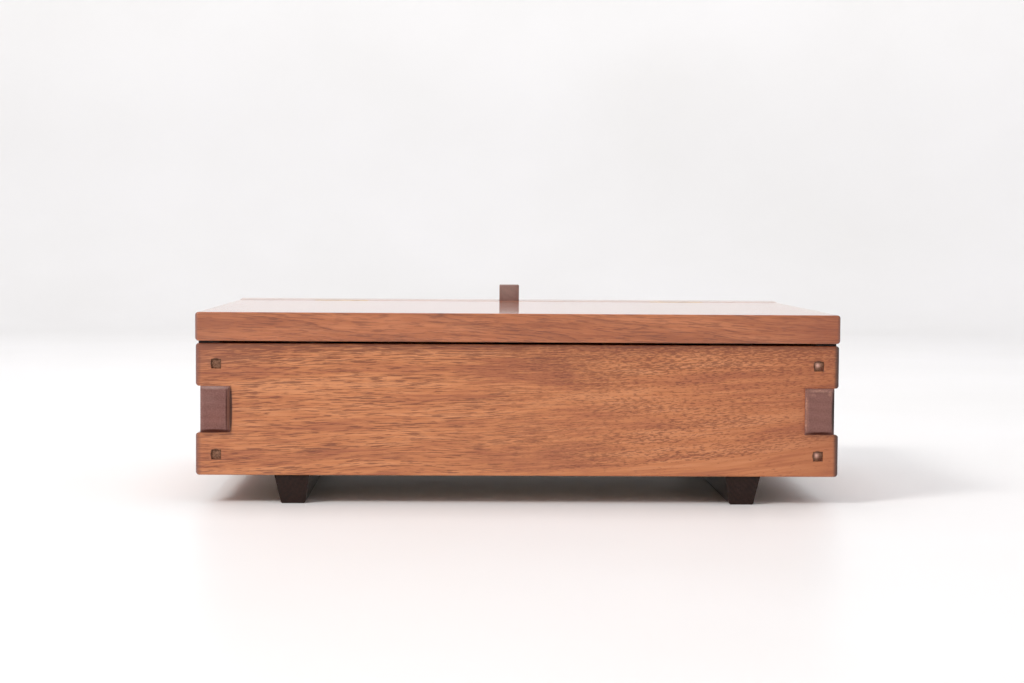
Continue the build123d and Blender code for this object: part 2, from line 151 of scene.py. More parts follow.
def finish_surface(tree: Tree, inputs: Mapping[str | int, object]) -> None:
    """Adds the surface shader and the output.

    Args:
        tree: the material's tree.
        inputs: the surface shader's inputs.
    """
    surface = add_node(tree, "BsdfPrincipled", inputs=inputs)
    add_node(tree, "OutputMaterial", inputs={"Surface": surface.outputs[0]})


def dress(node_name: str, material: bpy.types.Material) -> None:
    """Gives a CAD node its finish.

    Args:
        node_name: the node, as the CAD names it.
        material: its new and only material.
    """
    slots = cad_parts[node_name].data.materials
    slots.clear()
    slots.append(material)
    LOG.info("dressed %s in %s", node_name, material.name)


def box_mm(node_name: str) -> tuple[np.ndarray, np.ndarray]:
    """Lowest and highest corner of a CAD node, in millimetres."""
    low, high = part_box(node_name)
    return np.array(low) / MM, np.array(high) / MM


def new_piece(
    name: str,
    points_mm: np.ndarray,
    faces: Sequence[Sequence[int]],
    material: bpy.types.Material,
) -> bpy.types.Object:
    """Makes a smooth-shaded mesh object at the origin, with its place in its mesh.

    Args:
        name: the piece's name.
        points_mm: its vertices, one row each, in millimetres.
        faces: its faces, as vertex numbers that turn left seen from outside.
        material: its finish.

    Returns:
        The new object.
    """
    mesh = bpy.data.meshes.new(name)
    mesh.from_pydata((points_mm * MM).tolist(), [], faces)
    mesh.polygons.foreach_set("use_smooth", np.ones(len(mesh.polygons), bool))
    mesh.materials.append(material)
    mesh.update()
    piece = bpy.data.objects.new(name, mesh)
    bpy.context.scene.collection.objects.link(piece)
    return piece


def grid_faces(rows: int, columns: int, closed: bool) -> list[tuple[int, int, int, int]]:
    """Numbers the four-cornered faces of a grid whose points run along its rows.

    Args:
        rows: how many rows of points there are.
        columns: how many points each row has.
        closed: whether each row's last point joins its first.

    Returns:
        The faces, as vertex numbers.
    """
    row = np.arange(rows - 1)[:, None] * columns
    column = np.arange(columns if closed else columns - 1)[None, :]
    after = (column + 1) % columns
    corners = np.stack(
        np.broadcast_arrays(row + column, row + after, row + columns + after, row + columns + column),
        axis=-1,
    )
    return [tuple(face) for face in corners.reshape(-1, 4).tolist()]


def revolve(
    radius_mm: np.ndarray,
    height_mm: np.ndarray,
    sides: int,
    centre_mm: Triple,
    apart_mm: tuple[float, float] = (0.0, 0.0),
) -> tuple[np.ndarray, list[tuple[int, ...]]]:
    """Turns a profile about an upright axis, or about the corners of a rectangle.

    A point of the profile at radius r and height z goes to (r cos t, r sin t, z) for each angle t, plus
    the way to the rectangle's corner in that quarter. The profile's first and last points are poles on
    the axis, and each is one vertex.

    Args:
        radius_mm: the profile's radii, of which the first and last are nil, from the bottom up.
        height_mm: the profile's heights.
        sides: how many angles the full turn has.
        centre_mm: where the axis meets height nil.
        apart_mm: half the rectangle's sides along X and Y.

    Returns:
        The vertices, and the faces that look outwards.
    """
    angle = (np.arange(sides) + 0.5) * 2 * np.pi / sides
    radius, height = radius_mm[1:-1, None], height_mm[1:-1, None]
    across = radius * np.cos(angle) + apart_mm[0] * np.sign(np.cos(angle))
    away = radius * np.sin(angle) + apart_mm[1] * np.sign(np.sin(angle))
    around = np.stack(np.broadcast_arrays(across, away, height), axis=-1).reshape(-1, 3)
    poles = np.array([[0, 0, height_mm[0]], [0, 0, height_mm[-1]]])
    rings = len(radius_mm) - 2
    faces: list[tuple[int, ...]] = list(grid_faces(rings, sides, closed=True))
    bottom, top, last = rings * sides, rings * sides + 1, (rings - 1) * sides
    faces += [(bottom, (i + 1) % sides, i) for i in range(sides)]
    faces += [(top, last + i, last + (i + 1) % sides) for i in range(sides)]
    return np.concatenate([around, poles]) + np.array(centre_mm), faces


# Finishes


class Grain(Enum):
    """Which way a board's grain runs: the turn that lays it along X, in degrees, and its direction."""

    ALONG_X = ((0.0, 0.0, 0.0), (1.0, 0.0, 0.0))
    ALONG_Y = ((0.0, 0.0, -90.0), (0.0, 1.0, 0.0))


@dataclass(frozen=True)
class Patch:
    """A soft-edged spot of a board that differs from the rest: a swirl of the grain, a stain, a painted
    highlight or painted shade.

    Its strength falls off as e to the power of minus the square of the distance from its centre, with
    that distance counted in its own half-sizes. Where it is crisp, that square is raised to a power,
    which gives it a flatter middle and a sharper edge.
    """

    centre_mm: Triple
    half_size_mm: Triple
    amount: float
    colour: str = "#000000"
    ragged: float = 0.0
    crisp: float = 1.0


@dataclass(frozen=True)
class Cut:
    """How one board lies in its log, which decides the figure on its faces, with its stains, painted
    highlights and painted shade.
    """

    grain: Grain
    heart_mm: tuple[float, float]
    lean: float = 0.0
    shift_mm: float = 0.0
    figure: float = 1.0
    fibre_follow: float = 1.0
    wander_mm: float = 9.0
    short_pores_mm: tuple[float, float] = (9000.0, 9001.0)
    calm_under_mm: float = -9000.0
    swirls: tuple[Patch, ...] = ()
    streaky: tuple[Patch, ...] = ()
    # Spots of stain and tone, and of painted highlight and painted shade, mixed over the colour in turn.
    stains_and_shading: tuple[Patch, ...] = ()


@dataclass(frozen=True)
class WoodFinish:
    """Planed hardwood, oiled and rubbed to a satin gloss.

    The eye gets three things from it: broad bands and ring lines that follow the log's rings, short
    dark pores along the grain, and end grain that drinks more oil and so is darker and greyer.
    """

    name: str
    pale: str
    middle: str
    dark: str
    pore: str
    end_pale: str
    end_dark: str
    ring_mm: float = 5.5
    ring_line: float = 0.12
    ring_depth: float = 0.35
    pore_depth: float = 0.66
    pore_length_mm: float = 11.0
    pore_width_mm: float = 0.66
    long_pore_edge: tuple[float, float] = (0.51, 0.60)
    short_pore_edge: tuple[float, float] = (0.50, 0.60)
    roughness: float = 0.36
    specular: float = 0.2
    coat: float = 1.0
    coat_ior: float = 1.35
    coat_roughness: float = 0.13
    relief: float = 0.35

    def material(self, board: str, cut: Cut) -> bpy.types.Material:
        """Makes the finish for one board.

        Args:
            board: what the material is for, which becomes the end of its name.
            cut: how that board lies in its log.

        Returns:
            The material.
        """
        material, tree = blank_material(f"{self.name}_{board}")
        place = add_node(tree, "TexCoord")
        ring, grain_place, along = self._rings(tree, place, cut)
        streaky = self._streaky(tree, place, ring, cut)
        colour, pores = self._long_grain(tree, ring, grain_place, along, streaky, cut)
        end, end_colour = self._end_grain(tree, place, ring, cut)
        colour = add_node(
            tree, "Mix", {"data_type": "RGBA"}, {0: end, 6: colour, 7: end_colour}
        ).outputs[2]
        # Stains, painted highlights and painted shade, mixed over the wood's colour in turn.
        for stain_or_shade in cut.stains_and_shading:
            share = self._spot(tree, place, stain_or_shade)
            colour = add_node(
                tree,
                "Mix",
                {"data_type": "RGBA"},
                {0: share, 6: colour, 7: linear(stain_or_shade.colour)},
            ).outputs[2]
        rough = add_node(
            tree,
            "MapRange",
            inputs={0: end, 3: self.roughness, 4: min(0.75, self.roughness + 0.16)},
        )
        bump = add_node(
            tree,
            "Bump",
            {"invert": True},
            {"Strength": self.relief, "Distance": 0.08 * MM, "Height": pores},
        )
        finish_surface(
            tree,
            {
                "Base Color": colour,
                "Roughness": rough.outputs[0],
                "Normal": bump.outputs[0],
                "Specular IOR Level": self.specular,
                "Coat Weight": self.coat,
                "Coat Roughness": self.coat_roughness,
                "Coat IOR": self.coat_ior,
            },
        )
        return material

    def _spot(self, tree: Tree, place: bpy.types.Node, patch: Patch) -> Socket:
        """Adds the strength of a patch at each point: its amount times e to minus distance squared.

        Args:
            tree: the material's tree.
            place: the texture coordinate node.
            patch: the spot.

        Returns:
            The strength.
        """
        centred = add_node(
            tree,
            "Mapping",
            {"vector_type": "TEXTURE"},
            {
                "Vector": place.outputs["Object"],
                "Location": [c * MM for c in patch.centre_mm],
                "Scale": [h * MM for h in patch.half_size_mm],
            },
        )
        square = add_node(
            tree,
            "VectorMath",
            {"operation": "DOT_PRODUCT"},
            {0: centred.outputs[0], 1: centred.outputs[0]},
        ).outputs["Value"]
        if patch.ragged:
            torn = add_node(
                tree,
                "TexNoise",
                inputs={"Vector": place.outputs["Object"], "Scale": 900.0, "Detail": 3.0},
            )
            square = add_node(
                tree,
                "Math",
                {"operation": "MULTIPLY_ADD"},
                {0: torn.outputs[0], 1: patch.ragged, 2: square},
            ).outputs[0]
        if patch.crisp != 1.0:
            square = add_node(
                tree, "Math", {"operation": "POWER"}, {0: square, 1: patch.crisp}
            ).outputs[0]
        fall = add_node(
            tree, "Math", {"operation": "POWER"}, {0: math.exp(-1.0), 1: square}
        )
        return add_node(
            tree, "Math", {"operation": "MULTIPLY"}, {0: fall.outputs[0], 1: patch.amount}
        ).outputs[0]

    def _rings(
        self, tree: Tree, place: bpy.types.Node, cut: Cut
    ) -> tuple[Socket, Socket, Socket]:
        """Adds the growth rings' own coordinate, in millimetres.

        It is the distance from the log's heart, plus the lean times the way along the grain, as in a
        log that tapers, plus a slow wander, plus the board's swirls.

        Args:
            tree: the material's tree.
            place: the texture coordinate node.
            cut: how the board lies in its log.

        Returns:
            The ring coordinate, the vector (along, ring, across), and the way along the grain.
        """
        turn, _direction = cut.grain.value
        board = add_node(
            tree,
            "Mapping",
            inputs={
                "Vector": place.outputs["Object"],
                "Location": (cut.shift_mm, -cut.heart_mm[0], -cut.heart_mm[1]),
                "Rotation": [math.radians(t) for t in turn],
                "Scale": (1000.0, 1000.0, 1000.0),
            },
        )
        parts = add_node(tree, "SeparateXYZ", inputs={0: board.outputs[0]})
        across = add_node(
            tree,
            "VectorMath",
            {"operation": "MULTIPLY"},
            {0: board.outputs[0], 1: (0.0, 1.0, 1.0)},
        )
        distance = add_node(
            tree, "VectorMath", {"operation": "LENGTH"}, {0: across.outputs[0]}
        )
        leaning = add_node(
            tree,
            "Math",
            {"operation": "MULTIPLY_ADD"},
            {0: parts.outputs[0], 1: cut.lean, 2: distance.outputs["Value"]},
        )
        slow = add_node(
            tree,
            "Mapping",
            inputs={"Vector": board.outputs[0], "Scale": (0.009, 0.035, 0.035)},
        )
        wander = add_node(
            tree,
            "TexNoise",
            inputs={"Vector": slow.outputs[0], "Scale": 1.0, "Detail": 2.0},
        )
        ring = add_node(
            tree,
            "Math",
            {"operation": "MULTIPLY_ADD"},
            {0: wander.outputs[0], 1: cut.wander_mm, 2: leaning.outputs[0]},
        ).outputs[0]
        for swirl in cut.swirls:
            ring = add_node(
                tree,
                "Math",
                {"operation": "ADD"},
                {0: ring, 1: self._spot(tree, place, swirl)},
            ).outputs[0]
        fibre = add_node(
            tree,
            "Math",
            {"operation": "MULTIPLY_ADD"},
            {0: parts.outputs[0], 1: -cut.lean * (1 - cut.fibre_follow), 2: ring},
        )
        vector = add_node(
            tree,
            "CombineXYZ",
            inputs={0: parts.outputs[0], 1: fibre.outputs[0], 2: parts.outputs[1]},
        )
        return ring, vector.outputs[0], parts.outputs[0]

    def _streaky(
        self, tree: Tree, place: bpy.types.Node, ring: Socket, cut: Cut
    ) -> Socket:
        """Adds how much more, or less, the pores crowd at each point.

        Each streaky patch adds its strength, and the calm wood under the board's calm ring takes off
        0.11, over about 2 mm.

        Args:
            tree: the material's tree.
            place: the texture coordinate node.
            ring: the ring coordinate.
            cut: how the board lies in its log.

        Returns:
            What is added to the pores' noise before its threshold.
        """
        crowd = add_node(
            tree,
            "MapRange",
            {"interpolation_type": "SMOOTHSTEP"},
            {0: ring, 1: cut.calm_under_mm - 1.0, 2: cut.calm_under_mm + 1.0, 3: -0.11, 4: 0.0},
        ).outputs[0]
        for patch in cut.streaky:
            crowd = add_node(
                tree,
                "Math",
                {"operation": "ADD"},
                {0: crowd, 1: self._spot(tree, place, patch)},
            ).outputs[0]
        return crowd

    def _long_grain(
        self,
        tree: Tree,
        ring: Socket,
        grain_place: Socket,
        along: Socket,
        streaky: Socket,
        cut: Cut,
    ) -> tuple[Socket, Socket]:
        """Adds the colour of the faces along the grain: bands, fibres, ring lines and pores.

        Args:
            tree: the material's tree.
            ring: the ring coordinate.
            grain_place: the vector (along, ring, across).
            along: the way along the grain.
            streaky: what is added to the pores' noise.
            cut: how the board lies in its log.

        Returns:
            The colour, and the pores' mask.
        """
        bands = self._streaks(tree, grain_place, 110.0, 9.0, 3.0)
        fibres = self._streaks(tree, grain_place, 26.0, 1.3, 4.0)
        both = add_node(
            tree, "Math", {"operation": "MULTIPLY_ADD"}, {0: fibres, 1: 0.8, 2: bands}
        )
        colour = add_node(
            tree,
            "ValToRGB",
            {
                "stops": (
                    (0.40, linear(self.dark)),
                    (0.50, linear(self.middle)),
                    (0.60, linear(self.pale)),
                )
            },
            {
                0: add_node(
                    tree, "Math", {"operation": "DIVIDE"}, {0: both.outputs[0], 1: 1.8}
                ).outputs[0]
            },
        ).outputs[0]
        phase = add_node(
            tree, "Math", {"operation": "DIVIDE"}, {0: ring, 1: self.ring_mm}
        )
        uneven = add_node(
            tree,
            "Math",
            {"operation": "MULTIPLY_ADD"},
            {0: bands, 1: 1.2, 2: phase.outputs[0]},
        )
        share = add_node(tree, "Math", {"operation": "FRACT"}, {0: uneven.outputs[0]})
        line = add_node(
            tree,
            "ValToRGB",
            {
                "stops": (
                    (0.0, grey(1.0)),
                    (self.ring_line / 3, grey(0.5)),
                    (self.ring_line, grey(0.0)),
                    (0.74, grey(0.0)),
                    (0.97, grey(0.35)),
                    (1.0, grey(1.0)),
                )
            },
            {0: share.outputs[0]},
        )
        line_share = add_node(
            tree,
            "Math",
            {"operation": "MULTIPLY"},
            {0: line.outputs[0], 1: self.ring_depth * cut.figure},
        )
        colour = add_node(
            tree,
            "Mix",
            {"data_type": "RGBA"},
            {0: line_share.outputs[0], 6: colour, 7: linear(self.pore)},
        ).outputs[2]
        pores = self._pores(tree, grain_place, along, streaky, cut)
        pore_share = add_node(
            tree, "Math", {"operation": "MULTIPLY"}, {0: pores, 1: self.pore_depth}
        )
        colour = add_node(
            tree,
            "Mix",
            {"data_type": "RGBA"},
            {0: pore_share.outputs[0], 6: colour, 7: linear(self.pore)},
        ).outputs[2]
        return colour, pores

    def _streaks(
        self, tree: Tree, grain_place: Socket, length_mm: float, width_mm: float, detail: float
    ) -> Socket:
        """Adds noise that is drawn out along the grain, with cells of that length and width."""
        drawn = add_node(
            tree,
            "Mapping",
            inputs={"Vector": grain_place, "Scale": (1 / length_mm, 1 / width_mm, 0.7 / width_mm)},
        )
        return add_node(
            tree,
            "TexNoise",
            inputs={
                "Vector": drawn.outputs[0],
                "Scale": 1.0,
                "Detail": detail,
                "Roughness": 0.58,
            },
        ).outputs[0]

    def _pores(
        self, tree: Tree, grain_place: Socket, along: Socket, streaky: Socket, cut: Cut
    ) -> Socket:
        """Adds the pores: streaks of noise drawn out along the grain and cut off at a threshold.

        Long fine pores give way to short dense ones where the board says so. Both crowd in clusters
        a few centimetres long.

        Args:
            tree: the material's tree.
            grain_place: the vector (along, ring, across).
            along: the way along the grain.
            streaky: what is added to the noise before its threshold.
            cut: how the board lies in its log.

        Returns:
            The mask, 1 in a pore.
        """
        clusters = self._streaks(tree, grain_place, 45.0, 4.5, 2.0)
        lift = add_node(
            tree,
            "MapRange",
            inputs={0: clusters, 1: 0.3, 2: 0.7, 3: -0.06, 4: 0.06},
        )
        lifted = add_node(
            tree, "Math", {"operation": "ADD"}, {0: lift.outputs[0], 1: streaky}
        )
        masks = []
        for length, (low, high) in (
            (self.pore_length_mm, self.long_pore_edge),
            (self.pore_length_mm * 0.3, self.short_pore_edge),
        ):
            streaks = self._streaks(tree, grain_place, length, self.pore_width_mm, 3.0)
            crowded = add_node(
                tree, "Math", {"operation": "ADD"}, {0: streaks, 1: lifted.outputs[0]}
            )
            masks.append(
                add_node(
                    tree,
                    "MapRange",
                    {"interpolation_type": "SMOOTHSTEP"},
                    {0: crowded.outputs[0], 1: low, 2: high},
                ).outputs[0]
            )
        start, end = cut.short_pores_mm
        short = add_node(
            tree,
            "MapRange",
            {"interpolation_type": "SMOOTHSTEP"},
            {0: along, 1: start + cut.shift_mm, 2: end + cut.shift_mm},
        )
        return add_node(
            tree,
            "Mix",
            {"data_type": "FLOAT"},
            {0: short.outputs[0], 2: masks[0], 3: masks[1]},
        ).outputs[0]

    def _end_grain(
        self, tree: Tree, place: bpy.types.Node, ring: Socket, cut: Cut
    ) -> tuple[Socket, Socket]:
        """Adds the end grain's mask and colour: open pores as dots, in rows along the rings.

        Args:
            tree: the material's tree.
            place: the texture coordinate node.
            ring: the ring coordinate.
            cut: how the board lies in its log.

        Returns:
            The mask, 1 where a face looks along the grain, and the colour.
        """
        _turn, direction = cut.grain.value
        facing = add_node(
            tree,
            "VectorMath",
            {"operation": "DOT_PRODUCT"},
            {0: place.outputs["Normal"], 1: direction},
        )
        size = add_node(
            tree, "Math", {"operation": "ABSOLUTE"}, {0: facing.outputs["Value"]}
        )
        mask = add_node(
            tree,
            "MapRange",
            {"interpolation_type": "SMOOTHSTEP"},
            {0: size.outputs[0], 1: 0.35, 2: 0.65},
        )
        dots = add_node(
            tree,
            "TexNoise",
            inputs={
                "Vector": place.outputs["Object"],
                "Scale": 1100.0,
                "Detail": 3.0,
                "Roughness": 0.7,
            },
        )
        phase = add_node(
            tree, "Math", {"operation": "DIVIDE"}, {0: ring, 1: self.ring_mm}
        )
        share = add_node(tree, "Math", {"operation": "PINGPONG"}, {0: phase.outputs[0], 1: 0.5})
        mixed = add_node(
            tree,
            "Math",
            {"operation": "MULTIPLY_ADD"},
            {0: share.outputs[0], 1: 0.25, 2: dots.outputs[0]},
        )
        colour = add_node(
            tree,
            "ValToRGB",
            {"stops": ((0.38, linear(self.end_dark)), (0.72, linear(self.end_pale)))},
            {0: mixed.outputs[0]},
        )
        return mask.outputs[0], colour.outputs[0]


@dataclass(frozen=True)
class BrassFinish:
    """Extruded brass, brushed along X and lacquered: a soft warm metal with fine straight lines."""

    name: str = "brushed_brass"
    bright: str = "#bfa06a"
    dull: str = "#8e7040"

    def material(self) -> bpy.types.Material:
        """Makes the finish."""
        material, tree = blank_material(self.name)
        place = add_node(tree, "TexCoord")
        drawn = add_node(
            tree,
            "Mapping",
            inputs={"Vector": place.outputs["Object"], "Scale": (60.0, 4000.0, 4000.0)},
        )
        lines = add_node(
            tree, "TexNoise", inputs={"Vector": drawn.outputs[0], "Scale": 1.0, "Detail": 3.0}
        )
        cloud = add_node(
            tree,
            "TexNoise",
            inputs={"Vector": place.outputs["Object"], "Scale": 160.0, "Detail": 2.0},
        )
        colour = add_node(
            tree,
            "ValToRGB",
            {"stops": ((0.35, linear(self.dull)), (0.6, linear(self.bright)))},
            {0: cloud.outputs[0]},
        )
        rough = add_node(
            tree, "MapRange", inputs={0: lines.outputs[0], 1: 0.3, 2: 0.7, 3: 0.22, 4: 0.42}
        )
        bump = add_node(
            tree,
            "Bump",
            inputs={"Strength": 0.2, "Distance": 0.02 * MM, "Height": lines.outputs[0]},
        )
        finish_surface(
            tree,
            {
                "Base Color": colour.outputs[0],
                "Metallic": 1.0,
                "Roughness": rough.outputs[0],
                "Normal": bump.outputs[0],
            },
        )
        return material


@dataclass(frozen=True)
class ClothFinish:
    """A napped cloth, such as pressed wool felt or short-pile velvet: dull, with a pale bloom at the
    edges of a form, and mottled by fibres that lie every way."""

    name: str
    pale: str
    dark: str
    fibre_mm: float
    nap_mm: float
    sheen: float

    def material(self) -> bpy.types.Material:
        """Makes the finish."""
        material, tree = blank_material(self.name)
        place = add_node(tree, "TexCoord")
        fibres = add_node(
            tree,
            "TexNoise",
            inputs={
                "Vector": place.outputs["Object"],
                "Scale": 1 / (self.fibre_mm * MM),
                "Detail": 4.0,
                "Roughness": 0.7,
                "Distortion": 1.5,
            },
        )
        brushed = add_node(
            tree,
            "TexNoise",
            inputs={"Vector": place.outputs["Object"], "Scale": 45.0, "Detail": 2.0},
        )
        both = add_node(
            tree,
            "Math",
            {"operation": "MULTIPLY_ADD"},
            {0: brushed.outputs[0], 1: 0.6, 2: fibres.outputs[0]},
        )
        colour = add_node(
            tree,
            "ValToRGB",
            {"stops": ((0.55, linear(self.dark)), (1.0, linear(self.pale)))},
            {0: both.outputs[0]},
        )
        bump = add_node(
            tree,
            "Bump",
            inputs={"Strength": 0.6, "Distance": self.nap_mm * MM, "Height": fibres.outputs[0]},
        )
        finish_surface(
            tree,
            {
                "Base Color": colour.outputs[0],
                "Roughness": 0.95,
                "Specular IOR Level": 0.2,
                "Sheen Weight": self.sheen,
                "Sheen Roughness": 0.45,
                "Normal": bump.outputs[0],
            },
        )
        return material


@dataclass(frozen=True)
class LeatherFinish:
    """Vegetable-tanned leather, plain side out: dull brown with a fine pebble."""

    name: str = "brown_leather"
    pale: str = "#7b5239"
    dark: str = "#4a2e1f"
    pebble_mm: float = 0.55

    def material(self) -> bpy.types.Material:
        """Makes the finish."""
        material, tree = blank_material(self.name)
        place = add_node(tree, "TexCoord")
        pebbles = add_node(
            tree,
            "TexVoronoi",
            inputs={"Vector": place.outputs["Object"], "Scale": 1 / (self.pebble_mm * MM)},
        )
        colour = add_node(
            tree,
            "ValToRGB",
            {"stops": ((0.1, linear(self.pale)), (0.7, linear(self.dark)))},
            {0: pebbles.outputs[0]},
        )
        bump = add_node(
            tree,
            "Bump",
            {"invert": True},
            {"Strength": 0.5, "Distance": 0.1 * MM, "Height": pebbles.outputs[0]},
        )
        finish_surface(
            tree,
            {"Base Color": colour.outputs[0], "Roughness": 0.6, "Normal": bump.outputs[0]},
        )
        return material


# Black walnut, reddish from its oil, as the front board and the stop key: a satin face with short
# dark pores
WALNUT = WoodFinish(
    "oiled_walnut",
    pale="#cb8659",
    middle="#bf784b",
    dark="#a66240",
    pore="#5f3023",
    end_pale="#7c544c",
    end_dark="#5c3830",
)
# The same wood flat-sawn, for the lid and the back board: a shade darker, with softer pores and
# wide rings whose edges show as thin lines
LID_WALNUT = WoodFinish(
    "lid_walnut",
    pale="#b87048",
    middle="#aa633d",
    dark="#955333",
    pore="#562c22",
    end_pale="#7c544c",
    end_dark="#5c3830",
    ring_mm=12.0,
    ring_line=0.04,
    ring_depth=0.45,
    pore_depth=0.42,
    pore_length_mm=10.0,
    pore_width_mm=0.65,
    coat_ior=1.5,
    coat_roughness=0.09,
    relief=0.6,
)
# The side boards, whose end grain shows at the front, with the oil wiped off dry
SIDE_WALNUT = WoodFinish(
    "side_walnut",
    pale="#cb7f56",
    middle="#be724a",
    dark="#a8603f",
    pore="#643326",
    end_pale="#825b55",
    end_dark="#6b4942",
    specular=0.08,
    coat=0.25,
)
# The same wood planed thin for the fittings, with less oil
THIN_WALNUT = WoodFinish(
    "thin_walnut",
    pale="#c48760",
    middle="#b67855",
    dark="#9a6246",
    pore="#5f372a",
    end_pale="#846054",
    end_dark="#61423a",
    ring_mm=3.5,
    pore_length_mm=8.0,
    roughness=0.48,
    coat=0.4,
)
# A near-black hardwood, as wenge, for the runners, its colours darkened further as painted shade for the
# shadow under the box
SHADED_DARK_WOOD = WoodFinish(
    "dark_wood_painted_shade",
    pale="#321d17",
    middle="#261510",
    dark="#1a0e0b",
    pore="#100806",
    end_pale="#2a1812",
    end_dark="#1a0f0b",
    ring_mm=2.5,
    pore_length_mm=7.0,
    roughness=0.45,
    specular=0.08,
    coat_ior=1.2,
)
# Rotary-cut face veneer on plywood, sealed, for the panels
PLYWOOD = WoodFinish(
    "sealed_plywood",
    pale="#d9b98c",
    middle="#cba679",
    dark="#b08a5e",
    pore="#94703f",
    end_pale="#b08d63",
    end_dark="#8a6a45",
    ring_mm=9.0,
    ring_depth=0.5,
    pore_depth=0.3,
    roughness=0.5,
    coat=0.1,
)
# Offcuts of the walnut, cut across for the peg heads, which took up brown oil
PEG_WALNUT = WoodFinish(
    "peg_walnut",
    pale="#8e5f46",
    middle="#7c4e38",
    dark="#663e2c",
    pore="#4a2818",
    end_pale="#8c6650",
    end_dark="#5f3d2c",
    specular=0.1,
    coat=0.2,
)
FELT = ClothFinish("wool_felt", "#2f4a3a", "#1b2f25", fibre_mm=0.6, nap_mm=0.25, sheen=0.35)
VELVET = ClothFinish("ivory_velvet", "#e2d6c1", "#b9a88f", fibre_mm=0.4, nap_mm=0.2, sheen=0.6)


# Sub-assemblies


